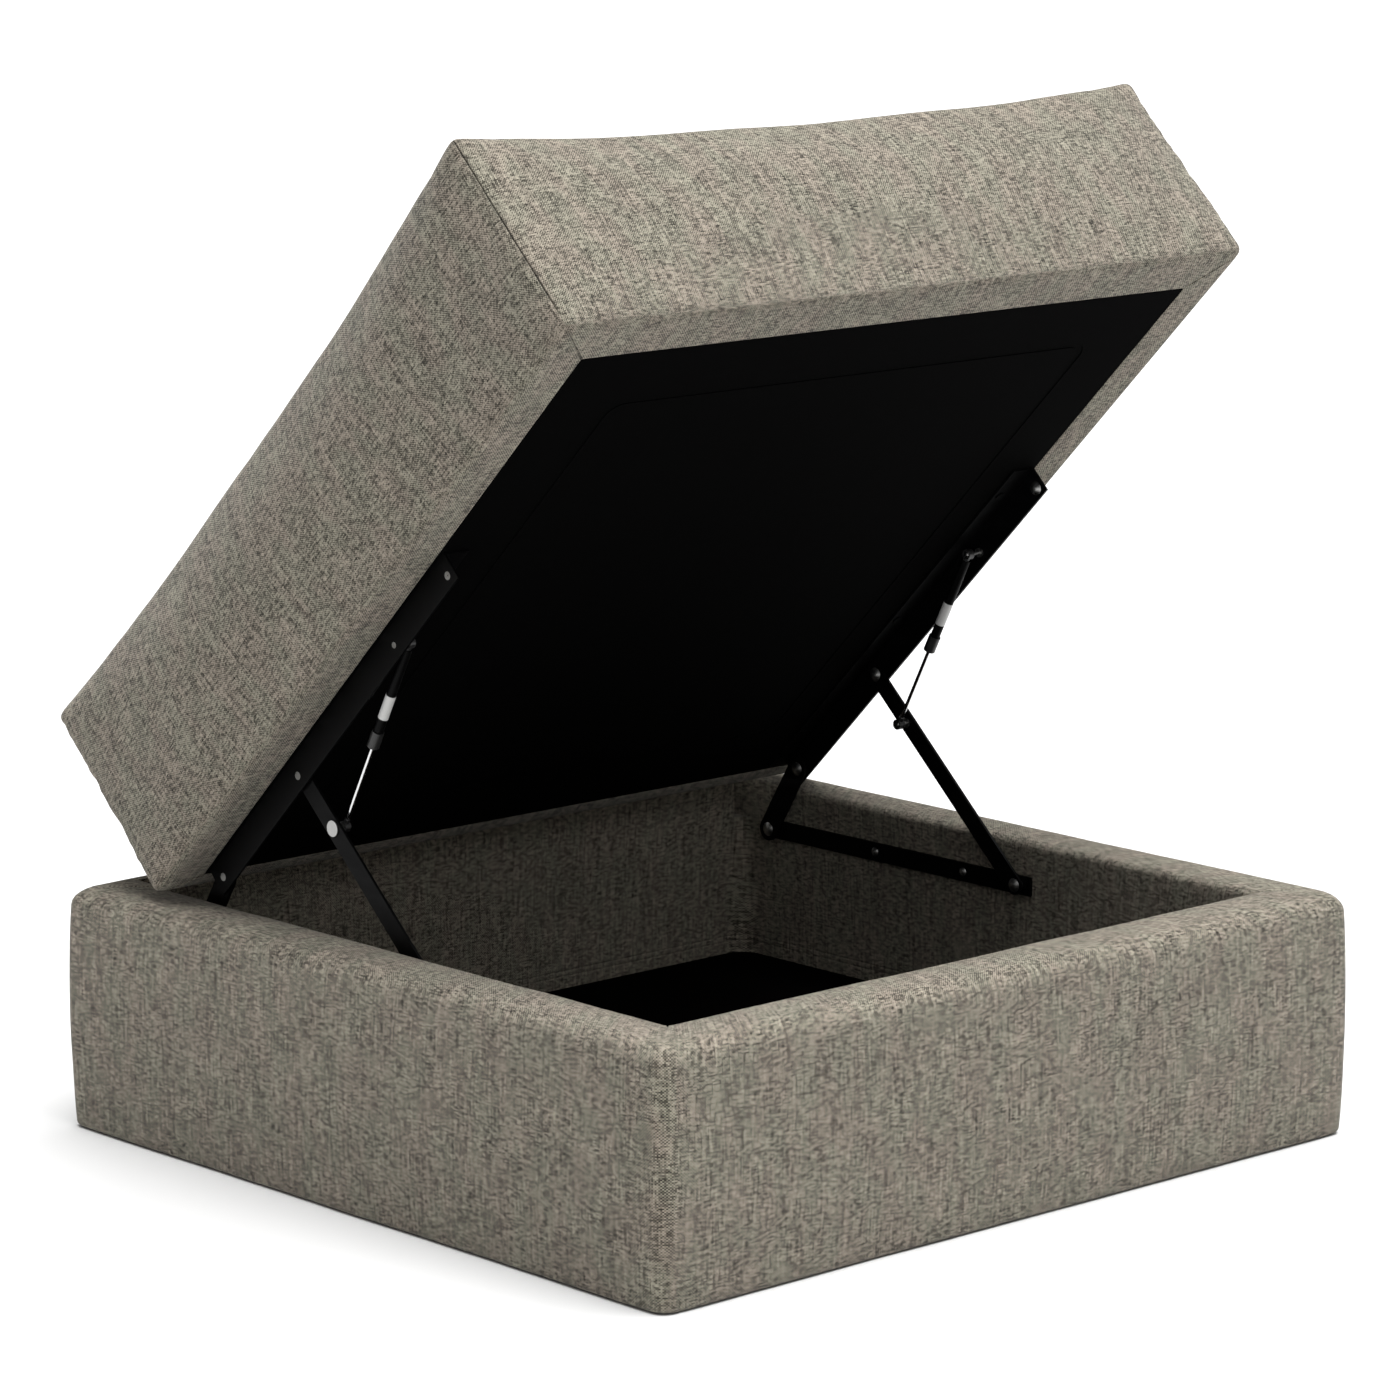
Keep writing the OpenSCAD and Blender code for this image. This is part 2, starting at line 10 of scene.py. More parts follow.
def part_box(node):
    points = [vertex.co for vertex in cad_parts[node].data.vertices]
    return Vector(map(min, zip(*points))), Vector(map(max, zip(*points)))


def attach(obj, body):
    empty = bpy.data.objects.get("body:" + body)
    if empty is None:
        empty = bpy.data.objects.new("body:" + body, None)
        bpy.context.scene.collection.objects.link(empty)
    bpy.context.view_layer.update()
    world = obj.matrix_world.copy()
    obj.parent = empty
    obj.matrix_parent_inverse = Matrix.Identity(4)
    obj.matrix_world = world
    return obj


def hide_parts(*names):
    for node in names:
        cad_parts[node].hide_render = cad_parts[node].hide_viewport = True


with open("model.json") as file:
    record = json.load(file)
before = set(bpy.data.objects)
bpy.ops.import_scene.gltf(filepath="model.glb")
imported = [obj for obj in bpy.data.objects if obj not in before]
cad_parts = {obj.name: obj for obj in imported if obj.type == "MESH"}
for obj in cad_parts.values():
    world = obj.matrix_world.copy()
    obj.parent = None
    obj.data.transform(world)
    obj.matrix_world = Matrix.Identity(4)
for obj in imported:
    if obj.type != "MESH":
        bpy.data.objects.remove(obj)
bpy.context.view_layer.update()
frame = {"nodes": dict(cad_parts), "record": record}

MM = 0.001
nodes = frame["nodes"]
scene = bpy.context.scene

# The open lid's own axes: ALONG runs from the hinge side to the front, OUT leaves its top face
LID_ANGLE = radians(45)
ALONG = Vector((0, -cos(LID_ANGLE), sin(LID_ANGLE)))
OUT = Vector((0, sin(LID_ANGLE), cos(LID_ANGLE)))


# ---------------------------------------------------------------- camera, light and floor

# A long lens from the front left, a little above the lid
CAMERA_LENS_MM = 144.8
CAMERA_SENSOR_MM = 36
CAMERA_TARGET = Vector((0.0, 0.010, 0.438))
CAMERA_DISTANCE = 5.59
CAMERA_TURN = radians(-42.55)
CAMERA_DOWN = radians(10.97)

# White light from the horizon and from overhead, and two broad suns, each with the way it comes from
HORIZON_LIGHT = 0.12
OVERHEAD_LIGHT = 1.05
OVERHEAD_SUN = Vector((0.07, -0.14, 0.96))
OVERHEAD_SPREAD = radians(50)
OVERHEAD_STRENGTH = 5.6
FILL_SUN = Vector((-0.40, -0.83, 0.40))
FILL_SPREAD = radians(60)
FILL_STRENGTH = 0.40

FLOOR_REACH = 40.0


def make_camera():
    camera = bpy.data.objects.new("camera", bpy.data.cameras.new("camera"))
    camera.data.lens = CAMERA_LENS_MM
    camera.data.sensor_width = CAMERA_SENSOR_MM
    camera.data.clip_end = 200
    turn = Matrix.Rotation(CAMERA_TURN, 4, "Z") @ Matrix.Rotation(pi / 2 - CAMERA_DOWN, 4, "X")
    back = turn @ Vector((0, 0, CAMERA_DISTANCE))
    camera.matrix_world = Matrix.Translation(CAMERA_TARGET + back) @ turn
    scene.collection.objects.link(camera)
    scene.camera = camera


def make_soft_sun(name, source, spread, strength):
    """A broad, soft-edged light. source points from the object to the light."""
    data = bpy.data.lights.new(name, "SUN")
    data.angle = spread
    data.energy = strength
    light = bpy.data.objects.new(name, data)
    light.rotation_euler = source.to_track_quat("Z", "Y").to_euler()
    scene.collection.objects.link(light)


def make_world(horizon, overhead):
    """White light all round, rising with the square of the height it comes from."""
    world = bpy.data.worlds.new("studio")
    world.use_nodes = True
    tree = world.node_tree
    background = tree.nodes["Background"]
    background.inputs["Color"].default_value = (1, 1, 1, 1)
    direction = tree.nodes.new("ShaderNodeTexCoord")
    split = tree.nodes.new("ShaderNodeSeparateXYZ")
    square = tree.nodes.new("ShaderNodeMath")
    square.operation = "MULTIPLY"
    level = tree.nodes.new("ShaderNodeMath")
    level.operation = "MULTIPLY_ADD"
    level.inputs[1].default_value = overhead - horizon
    level.inputs[2].default_value = horizon
    tree.links.new(direction.outputs["Generated"], split.inputs[0])
    tree.links.new(split.outputs[2], square.inputs[0])
    tree.links.new(split.outputs[2], square.inputs[1])
    tree.links.new(square.outputs[0], level.inputs[0])
    tree.links.new(level.outputs[0], background.inputs["Strength"])
    scene.world = world


def make_floor():
    mesh = bpy.data.meshes.new("floor")
    turns = ((-1, -1), (1, -1), (1, 1), (-1, 1))
    corners = [(x * FLOOR_REACH, y * FLOOR_REACH, 0) for x, y in turns]
    mesh.from_pydata(corners, [], [(0, 1, 2, 3)])
    floor = bpy.data.objects.new("floor", mesh)
    scene.collection.objects.link(floor)
    mesh.materials.append(floor_paint())


# ---------------------------------------------------------------- materials

class Graph:
    """A material's node tree, with short ways to add and join nodes."""

    def __init__(self, name):
        self.material = bpy.data.materials.new(name)
        self.material.use_nodes = True
        self.tree = self.material.node_tree
        self.shader = self.tree.nodes["Principled BSDF"]

    def add(self, kind, settings=None, **inputs):
        node = self.tree.nodes.new(kind)
        for key, value in (settings or {}).items():
            setattr(node, key, value)
        for key, value in inputs.items():
            self.put(node.inputs[key.replace("_", " ")], value)
        return node

    def put(self, socket, value):
        if isinstance(value, bpy.types.NodeSocket):
            self.tree.links.new(value, socket)
        else:
            socket.default_value = value

    def math(self, operation, first, second=0.0, third=0.0):
        node = self.add("ShaderNodeMath", {"operation": operation})
        for socket, value in zip(node.inputs, (first, second, third)):
            self.put(socket, value)
        return node.outputs[0]

    def mix(self, factor, first, second, blend="MIX"):
        node = self.add("ShaderNodeMix", {"data_type": "RGBA", "blend_type": blend})
        self.put(node.inputs[0], factor)
        self.put(node.inputs[6], rgba(first))
        self.put(node.inputs[7], rgba(second))
        return node.outputs[2]

    def blend(self, factor, first, second):
        """A number between first and second."""
        node = self.add("ShaderNodeMix", {"data_type": "FLOAT"})
        self.put(node.inputs[0], factor)
        self.put(node.inputs[2], first)
        self.put(node.inputs[3], second)
        return node.outputs[0]

    def spread(self, value, low, high, new_low=0.0, new_high=1.0):
        """The range low to high stretched onto the new one, and held at its ends."""
        node = self.add("ShaderNodeMapRange")
        for socket, number in zip(node.inputs, (value, low, high, new_low, new_high)):
            self.put(socket, number)
        return node.outputs[0]

    def vector(self, x, y, z=0.0):
        return self.add("ShaderNodeCombineXYZ", X=x, Y=y, Z=z).outputs[0]

    def place(self, stretch=(1, 1, 1)):
        """Object coordinates, stretched."""
        source = self.add("ShaderNodeTexCoord").outputs["Object"]
        return self.add("ShaderNodeMapping", Vector=source, Scale=stretch).outputs[0]

    def noise(self, vector, scale, detail=2.0, roughness=0.5):
        node = self.add("ShaderNodeTexNoise", Vector=vector, Scale=scale, Detail=detail, Roughness=roughness)
        return node.outputs["Fac"]

    def yarn_noise(self, across, across_rate, up, up_rate, layer=0.0):
        """Noise drawn out over a cloth. The rates are in changes for each yarn, and layers don't match."""
        x = self.math("MULTIPLY", across, across_rate)
        y = self.math("MULTIPLY", up, up_rate)
        return self.noise(self.vector(x, y, layer), 1.0)

    def bump(self, height, depth, strength=1.0):
        node = self.add("ShaderNodeBump", Height=height, Distance=depth, Strength=strength)
        self.put(self.shader.inputs["Normal"], node.outputs[0])

    def surface(self, colour, roughness, **sockets):
        self.put(self.shader.inputs["Base Color"], rgba(colour))
        self.put(self.shader.inputs["Roughness"], roughness)
        for key, value in sockets.items():
            self.put(self.shader.inputs[key.replace("_", " ")], value)
        return self.material


def rgba(colour):
    """A plain colour gets its alpha, and a socket stays as it is."""
    return (*colour, 1.0) if isinstance(colour, tuple) and len(colour) == 3 else colour


def floor_paint():
    graph = Graph("floor_paint")
    mottle = graph.noise(graph.place(), 3.0)
    return graph.surface(graph.mix(mottle, (0.60, 0.60, 0.60), (0.62, 0.62, 0.62)), 0.9)


YARN_PITCH = 1.4 * MM
YARN_WANDER = 0.8 * YARN_PITCH
YARN_RELIEF = 0.35 * MM
DARK_YARN = (0.022, 0.019, 0.013)
PALE_YARN = (0.310, 0.280, 0.224)
PINK_TINT = (1.032, 0.992, 1.0)
GREEN_TINT = (0.974, 1.008, 0.988)

# Changes of shade for each yarn, along a warp yarn, along a weft yarn and from one yarn to the next
WARP_SLUB_RATE = 0.035
WEFT_SLUB_RATE = 0.16
NEXT_YARN_RATE = 1.618
WARP_DYE = 0.24
WEFT_DYE = 0.40
SPECK = 0.5
MIDDLE_TONE = 0.49


def upholstery():
    """Heathered plain weave: pale and dark yarns crossing, slubs along both ways and slow changes of tint."""
    graph = Graph("upholstery")
    cloth = graph.add("ShaderNodeUVMap", {"uv_map": "weave"}).outputs[0]
    wander = graph.noise(cloth, 5.0, 1.0)
    shift = graph.math("MULTIPLY_ADD", wander, 2 * YARN_WANDER, -YARN_WANDER)
    split = graph.add("ShaderNodeSeparateXYZ", Vector=cloth)
    across = graph.math("DIVIDE", graph.math("ADD", split.outputs[0], shift), YARN_PITCH)
    up = graph.math("DIVIDE", graph.math("ADD", split.outputs[1], shift), YARN_PITCH)
    warp_yarn = graph.math("FLOOR", across)
    weft_yarn = graph.math("FLOOR", up)
    over = graph.math("MODULO", graph.math("ABSOLUTE", graph.math("ADD", warp_yarn, weft_yarn)), 2.0)

    # Each yarn is dyed unevenly along its length, and each crossing has its own shade
    warp_slub = graph.yarn_noise(warp_yarn, NEXT_YARN_RATE, up, WARP_SLUB_RATE)
    weft_slub = graph.yarn_noise(across, WEFT_SLUB_RATE, weft_yarn, NEXT_YARN_RATE, 9.0)
    warp_dye = graph.spread(warp_slub, 0.35, 0.65, -WARP_DYE, WARP_DYE)
    weft_dye = graph.spread(weft_slub, 0.35, 0.65, -WEFT_DYE, WEFT_DYE)
    crossing = graph.vector(warp_yarn, weft_yarn)
    speck = graph.add("ShaderNodeTexWhiteNoise", {"noise_dimensions": "2D"}, Vector=crossing)
    contrast = graph.spread(graph.noise(cloth, 38.0, 2.0), 0.35, 0.65, 0.35, 0.85)
    tone = graph.math("ADD", graph.math("ADD", warp_dye, weft_dye), MIDDLE_TONE)
    tone = graph.math("MULTIPLY_ADD", graph.math("SUBTRACT", over, 0.5), contrast, tone)
    tone = graph.math("MULTIPLY_ADD", graph.math("SUBTRACT", speck.outputs["Value"], 0.5), SPECK, tone)
    weave = graph.mix(tone, DARK_YARN, PALE_YARN)

    # Patches of warmer and greener yarn, drawn out along the warp, then a slow mottle with warp streaks
    patch = graph.yarn_noise(across, 0.05, up, 0.022, 4.0)
    tint = graph.mix(graph.spread(patch, 0.40, 0.60), GREEN_TINT, PINK_TINT)
    toned = graph.mix(1.0, weave, tint, "MULTIPLY")
    mottle = graph.spread(graph.noise(cloth, 22.0, 3.0), 0.3, 0.7, 0.96, 1.04)
    streak = graph.spread(graph.yarn_noise(across, 0.45, up, 0.026, 7.0), 0.35, 0.65, -0.10, 0.10)
    level = graph.math("ADD", mottle, streak)
    colour = graph.mix(1.0, toned, graph.vector(level, level, level), "MULTIPLY")

    ridge_across = graph.math("ABSOLUTE", graph.math("SINE", graph.math("MULTIPLY", across, pi)))
    ridge_up = graph.math("ABSOLUTE", graph.math("SINE", graph.math("MULTIPLY", up, pi)))
    graph.bump(graph.blend(over, ridge_across, ridge_up), YARN_RELIEF, 0.6)
    return graph.surface(colour, 0.92, Specular_IOR_Level=0.25, Sheen_Weight=0.12, Sheen_Roughness=0.45)


def wood(name, pale, dark, stretch):
    """Sawn wood with bands of growth, drawn out along the axis with the smallest stretch."""
    graph = Graph(name)
    place = graph.place(stretch)
    wander = graph.noise(place, 3.0, 3.0)
    rings = graph.add("ShaderNodeTexWave", {"wave_type": "BANDS", "bands_direction": "Z"},
                      Vector=place, Scale=9.0, Distortion=7.0, Detail=3.0)
    grain = graph.noise(place, 60.0, 4.0)
    tone = graph.blend(0.45, rings.outputs["Fac"], grain)
    colour = graph.mix(graph.blend(0.3, tone, wander), dark, pale)
    graph.bump(grain, 0.3 * MM, 0.5)
    return graph.surface(colour, graph.spread(grain, 0.3, 0.7, 0.55, 0.75))


def foam():
    """Pale open-celled foam."""
    graph = Graph("foam")
    place = graph.place()
    pores = graph.add("ShaderNodeTexVoronoi", Vector=place, Scale=700.0).outputs["Distance"]
    colour = graph.mix(graph.noise(place, 8.0), (0.80, 0.72, 0.52), (0.90, 0.85, 0.70))
    graph.bump(pores, 0.5 * MM)
    return graph.surface(colour, 0.95)


def black_cloth(name, dark, pale, scale):
    """Dull non-woven lining: matted fibres, spot-bonded."""
    graph = Graph(name)
    place = graph.place()
    fibres = graph.noise(place, scale, 6.0, 0.7)
    bonds = graph.add("ShaderNodeTexVoronoi", Vector=place, Scale=scale * 0.6).outputs["Distance"]
    colour = graph.mix(graph.spread(fibres, 0.35, 0.7), dark, pale)
    graph.bump(graph.math("ADD", fibres, bonds), 0.15 * MM, 0.5)
    return graph.surface(colour, 0.95, Specular_IOR_Level=0.02)


def painted_steel():
    """Satin black powder coat with a fine orange peel and faint rub marks."""
    graph = Graph("black_steel")
    place = graph.place()
    peel = graph.noise(place, 900.0, 2.0)
    rubs = graph.noise(graph.place((1, 0.2, 1)), 90.0, 5.0, 0.7)
    colour = graph.mix(graph.spread(rubs, 0.55, 0.8), (0.0014, 0.0014, 0.0015), (0.0040, 0.0040, 0.0043))
    graph.bump(peel, 0.04 * MM, 0.5)
    return graph.surface(colour, graph.spread(rubs, 0.3, 0.7, 0.36, 0.52), Specular_IOR_Level=0.06)


def bare_metal(name, colour, rough_low, rough_high, stretch=(1, 1, 1)):
    """Uncoated metal with fine marks."""
    graph = Graph(name)
    marks = graph.noise(graph.place(stretch), 260.0, 4.0, 0.6)
    tint = graph.mix(graph.spread(marks, 0.3, 0.7), tuple(0.86 * c for c in colour), colour)
    graph.bump(marks, 0.03 * MM, 0.3)
    return graph.surface(tint, graph.spread(marks, 0.3, 0.7, rough_low, rough_high), Metallic=1.0)


def moulded_plastic(name, colour, roughness):
    """Matt plastic with a fine moulded grain."""
    graph = Graph(name)
    grain = graph.noise(graph.place(), 1400.0, 3.0)
    shade = graph.mix(grain, tuple(0.8 * c for c in colour), tuple(1.2 * c for c in colour))
    graph.bump(grain, 0.05 * MM, 0.4)
    return graph.surface(shade, graph.spread(grain, 0.3, 0.7, roughness - 0.06, roughness + 0.06))


def label_paper():
    graph = Graph("label")
    grain = graph.noise(graph.place(), 900.0, 3.0)
    return graph.surface(graph.mix(grain, (0.50, 0.50, 0.49), (0.58, 0.58, 0.57)), 0.45)


LINING_FIBRE = (0.0004, 0.0004, 0.0004)
LINING_SHEEN = (0.0016, 0.0016, 0.0016)
FLOOR_FIBRE = (0.0004, 0.0003, 0.0003)
FLOOR_SHEEN = (0.0016, 0.0013, 0.0013)


def make_materials():
    """One material for each of the record's slots."""
    return {
        "upholstery": upholstery(),
        "timber": wood("timber", (0.66, 0.50, 0.32), (0.42, 0.29, 0.16), (1, 1, 0.25)),
        "plywood": wood("plywood", (0.72, 0.58, 0.39), (0.50, 0.37, 0.22), (0.3, 1, 1)),
        "foam": foam(),
        "floor_lining": black_cloth("floor_lining", FLOOR_FIBRE, FLOOR_SHEEN, 1500.0),
        "black_lining": black_cloth("black_lining", LINING_FIBRE, LINING_SHEEN, 1100.0),
        "glide_plastic": moulded_plastic("glide_plastic", (0.02, 0.02, 0.02), 0.5),
        "black_plastic": moulded_plastic("black_plastic", (0.012, 0.012, 0.012), 0.4),
        "label": label_paper(),
        "polished_rod": bare_metal("polished_rod", (0.72, 0.72, 0.73), 0.10, 0.18, (1, 1, 0.1)),
        "zinc_steel": bare_metal("zinc_steel", (0.40, 0.40, 0.39), 0.26, 0.42),
        "black_steel": painted_steel(),
    }


def dress_cad_nodes(materials):
    """Gives every CAD node the material of its slot in the record."""
    for row in frame["record"]["subparts"]:
        for entry in nodes[row["node"]].material_slots:
            entry.material = materials[row["material_slot"]]


# ---------------------------------------------------------------- mesh helpers

def make_piece(name, points, faces, uvs, material):
    """A smooth-shaded mesh. uvs holds one (across, up) pair in metres for each corner of each face."""
    mesh = bpy.data.meshes.new(name)
    mesh.from_pydata([tuple(p) for p in points], [], faces)
    layer = mesh.uv_layers.new(name="weave")
    layer.data.foreach_set("uv", np.asarray(uvs, dtype=np.float32).ravel())
    mesh.polygons.foreach_set("use_smooth", [True] * len(mesh.polygons))
    mesh.materials.append(material)
    piece = bpy.data.objects.new(name, mesh)
    scene.collection.objects.link(piece)
    return piece


def face_outwards(piece):
    shape = bmesh.new()
    shape.from_mesh(piece.data)
    bmesh.ops.recalc_face_normals(shape, faces=shape.faces)
    shape.to_mesh(piece.data)
    shape.free()


def apply_modifiers(piece):
    """Bakes the piece's modifiers into its mesh."""
    graph = bpy.context.evaluated_depsgraph_get()
    mesh = bpy.data.meshes.new_from_object(piece.evaluated_get(graph), depsgraph=graph)
    piece.modifiers.clear()
    piece.data = mesh


def ripple(place, size, height):
    """Smooth unevenness of about that height over that size."""
    return height * noise.noise(Vector(place) / size)


def clamp(value, low=0.0, high=1.0):
    return min(max(value, low), high)


# ---------------------------------------------------------------- padded base

wall_low, wall_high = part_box("left_wall_pad")
rear_low, rear_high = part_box("rear_wall_pad")
front_low, front_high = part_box("front_wall_pad")
HALF_WIDTH = -wall_low.x
SIDE_WALL = wall_high.x - wall_low.x
FRONT_FACE = front_low.y
REAR_FACE = rear_high.y
FRONT_WALL = front_high.y - front_low.y
REAR_WALL = rear_high.y - rear_low.y
BASE_TOP = rear_high.z
MIDDLE_Y = (FRONT_FACE + REAR_FACE) / 2
FLOOR_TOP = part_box("storage_floor")[1].z

# The cover reaches below the CAD pads, almost to the ground
BASE_DROP = 4.4 * MM
BASE_BOTTOM = rear_low.z - BASE_DROP

# The lid rails lie just over the rear wall when the lid is shut, so its top stays flat from here outwards
RAIL_MARGIN = 16 * MM
REAR_TOP_MARGIN = 8 * MM
RAIL_INNER_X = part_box("right_lid_rail")[0].x - RAIL_MARGIN
REAR_TOP_START = REAR_FACE - REAR_WALL - REAR_TOP_MARGIN

OUTER_CORNER_R = 14 * MM
INNER_CORNER_TOP_R = 7 * MM
INNER_CORNER_LOW_R = 24 * MM
OUTER_EDGE_R = 19 * MM
INNER_EDGE_R = 9 * MM
BOTTOM_EDGE_R = 5 * MM
TOP_CROWN = 1.2 * MM

# The cover stands a little proud of the CAD pads, most of all at half height
WALL_FULLNESS = 4.7 * MM
WALL_BULGE = 5.5 * MM
BULGE_POWER = 0.8
FACE_POWER = 15

# The top is uneven too, but nowhere high enough to meet the shut lid
MOST_TOP_RISE = 0.3 * MM
TOP_RIPPLE_SHIFT = Vector((3, 0, 0))

# Two sewn hems run round the inside just over the floor
FLOOR_CLEAR = 0.4 * MM
HEM_HEIGHTS = (13 * MM, 19 * MM)
HEM_STEPS = (-2.5 * MM, -1.2 * MM, 0, 1.2 * MM, 2.5 * MM)
HEM_DEPTH = 0.9 * MM
HEM_MARGIN = 8 * MM

# A short dart is sewn across the top at each corner, from the inner edge
DART_DEPTH = 1.8 * MM
DART_START = 0.62
DART_END = 0.99

# The underside runs in as far as this share of the wall's thickness, then turns up inside the wall
UNDERSIDE_END = 0.42
TURN_UP_SHARE = 0.45
TURN_UP_HEIGHT = 6 * MM
INSIDE_SHARE = 0.55

COLUMN_STEP = 12 * MM
CORNER_COLUMNS = 10
WALL_ROWS = 17
CROWN_ROWS = 5


def quarter(count):
    """Angles that divide a quarter turn, without its start."""
    return [pi / 2 * (i + 1) / count for i in range(count)]


def evenly(start, end, count):
    """Both ends and the values between them, in that many steps."""
    return [start + (end - start) * i / count for i in range(count + 1)]


def base_profile():
    """Rings of the padded wall as (share of its thickness from the outer face, height): up the inner face,
    over the top, down the outer face and in under the bottom."""
    low = FLOOR_TOP + FLOOR_CLEAR
    inner_top = BASE_TOP - INNER_EDGE_R
    outer_top = BASE_TOP - OUTER_EDGE_R
    bottom = BASE_BOTTOM + BOTTOM_EDGE_R
    hems = [low + hem for hem in HEM_HEIGHTS]
    heights = {low, inner_top}
    for hem in hems:
        heights.update(hem + step for step in HEM_STEPS)
    heights.update(evenly(hems[-1] + HEM_MARGIN, inner_top, WALL_ROWS)[:-1])

    rings = [(1 - HEM_DEPTH / SIDE_WALL if z in hems else 1.0, z) for z in sorted(heights)]
    for turn in quarter(5):
        rings.append((1 - INNER_EDGE_R * (1 - cos(turn)) / SIDE_WALL, inner_top + INNER_EDGE_R * sin(turn)))
    crown_start, crown_end = 1 - INNER_EDGE_R / SIDE_WALL, OUTER_EDGE_R / SIDE_WALL
    for i in range(1, CROWN_ROWS):
        along = i / CROWN_ROWS
        share = crown_start + (crown_end - crown_start) * along
        rings.append((share, BASE_TOP + TOP_CROWN * sin(pi * along)))
    rings.append((crown_end, BASE_TOP))
    for turn in quarter(7):
        rings.append((OUTER_EDGE_R * (1 - sin(turn)) / SIDE_WALL, outer_top + OUTER_EDGE_R * cos(turn)))
    for z in evenly(outer_top, bottom, WALL_ROWS)[1:]:
        rings.append((0.0, z))
    for turn in quarter(4):
        rings.append((BOTTOM_EDGE_R * (1 - cos(turn)) / SIDE_WALL, bottom - BOTTOM_EDGE_R * sin(turn)))
    rings.append((UNDERSIDE_END, BASE_BOTTOM))
    rings.append((TURN_UP_SHARE, BASE_BOTTOM + TURN_UP_HEIGHT))
    rings.append((INSIDE_SHARE, low))
    return rings


def ring_point(share, z, side, along, turn):
    """A point of the rounded rectangle at that depth in the wall. side counts the sides anticlockwise from
    the front, along runs from 0 to 1 on the straight part, and turn is the angle into the corner after it."""
    left = -HALF_WIDTH + share * SIDE_WALL
    right = -left
    front = FRONT_FACE + share * FRONT_WALL
    rear = REAR_FACE - share * REAR_WALL
    lift = clamp((z - FLOOR_TOP) / (BASE_TOP - FLOOR_TOP))
    inner_r = INNER_CORNER_LOW_R + (INNER_CORNER_TOP_R - INNER_CORNER_LOW_R) * lift ** 2
    radius = OUTER_CORNER_R + (inner_r - OUTER_CORNER_R) * clamp(share)
    corners = [(left, front), (right, front), (right, rear), (left, rear)]
    towards = [(1, 1), (-1, 1), (-1, -1), (1, -1)]
    here = Vector(corners[side])
    there = Vector(corners[(side + 1) % 4])
    run = (there - here).normalized()
    start = here + run * radius
    end = there - run * radius
    if turn is None:
        return start + (end - start) * along
    centre = there + radius * Vector(towards[(side + 1) % 4])
    outward = Vector((run.y, -run.x))
    return centre + radius * (outward * cos(turn) + run * sin(turn))


def base_columns():
    """The columns round the wall, each as (side, place along it, angle into the corner, distance walked),
    and the whole distance round."""
    columns = []
    walked = 0.0
    lengths = [2 * HALF_WIDTH, REAR_FACE - FRONT_FACE] * 2
    for side, length in enumerate(lengths):
        straight = length - 2 * OUTER_CORNER_R
        count = round(straight / COLUMN_STEP)
        for i in range(count + 1):
            columns.append((side, i / count, None, walked + straight * i / count))
        walked += straight
        for i in range(1, CORNER_COLUMNS):
            angle = pi / 2 * i / CORNER_COLUMNS
            columns.append((side, 1.0, angle, walked + OUTER_CORNER_R * angle))
        walked += OUTER_CORNER_R * pi / 2
    return columns, walked


def base_point(share, z, column):
    """One point of the cover: its place in the plain wall, with the bulge, the unevenness and the darts."""
    side, along, turn, _ = column
    flat = ring_point(share, z, side, along, turn)
    point = Vector((flat.x, flat.y, z))

    # The outer half bulges and is slightly uneven, and the inner half keeps to the boards
    outer = clamp(1 - share * 2)
    height = clamp((z - BASE_BOTTOM) / (BASE_TOP - BASE_BOTTOM))
    out = Vector((near_face(flat.x / HALF_WIDTH), near_face((flat.y - MIDDLE_Y) / (REAR_FACE - MIDDLE_Y)), 0))
    bulge = WALL_FULLNESS + WALL_BULGE * sin(pi * height) ** BULGE_POWER
    uneven = ripple(point, 130 * MM, 1.6 * MM) + ripple(point, 45 * MM, 0.5 * MM)
    point += out.normalized() * (bulge + uneven) * outer

    if share < 0.97 and z > BASE_TOP - 0.5 * OUTER_EDGE_R:
        top_uneven = ripple(point + TOP_RIPPLE_SHIFT, 90 * MM, 1.0 * MM)
        point.z += min(top_uneven, MOST_TOP_RISE)
    if point.y > REAR_TOP_START and abs(point.x) > RAIL_INNER_X:
        point.z = min(point.z, BASE_TOP)
    in_corner = turn is not None and abs(turn - pi / 4) < 0.01
    if in_corner and DART_START < share < DART_END and z > BASE_TOP - INNER_EDGE_R:
        point.z -= DART_DEPTH
    return point


def near_face(share):
    """Fades a place between the middle (0) and a face (1 or -1), so that only places near a face count."""
    return abs(share) ** FACE_POWER * (1 if share > 0 else -1)


def make_base_cover(material):
    """One padded cover over all four wall boards, open where the lid's rails drop in."""
    rings = base_profile()
    columns, around = base_columns()
    lengths = [0.0]
    for (share, z), (next_share, next_z) in zip(rings, rings[1:]):
        lengths.append(lengths[-1] + ((share - next_share) ** 2 * SIDE_WALL ** 2 + (z - next_z) ** 2) ** 0.5)
    points = [base_point(share, z, column) for share, z in rings for column in columns]
    faces = []
    uvs = []
    ring_count, column_count = len(rings), len(columns)
    for j in range(ring_count):
        above = (j + 1) % ring_count
        v0 = lengths[j]
        v1 = lengths[above] if above else v0 + 10 * MM
        for i in range(column_count):
            beside = (i + 1) % column_count
            u0 = columns[i][3]
            u1 = columns[beside][3] if beside else around
            faces.append((j * column_count + i, j * column_count + beside,
                          above * column_count + beside, above * column_count + i))
            uvs += [(u0, v0), (u1, v0), (u1, v1), (u0, v1)]
    cover = make_piece("base_cover", points, faces, uvs, material)
    face_outwards(cover)
    cut_rail_slots(cover)
    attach(cover, "base")
    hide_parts("front_wall_pad", "rear_wall_pad", "left_wall_pad", "right_wall_pad")
    return cover


# The rail slots in the rear wall, which run a little into the side walls
SLOT_WIDTH = 14.5 * MM
SLOT_BOTTOM = 206 * MM
SLOT_DEPTH = 45 * MM
SLOT_OVERCUT = 0.5 * MM
SLOT_LEAD = 30 * MM
COVER_SHARP_ANGLE = radians(50)


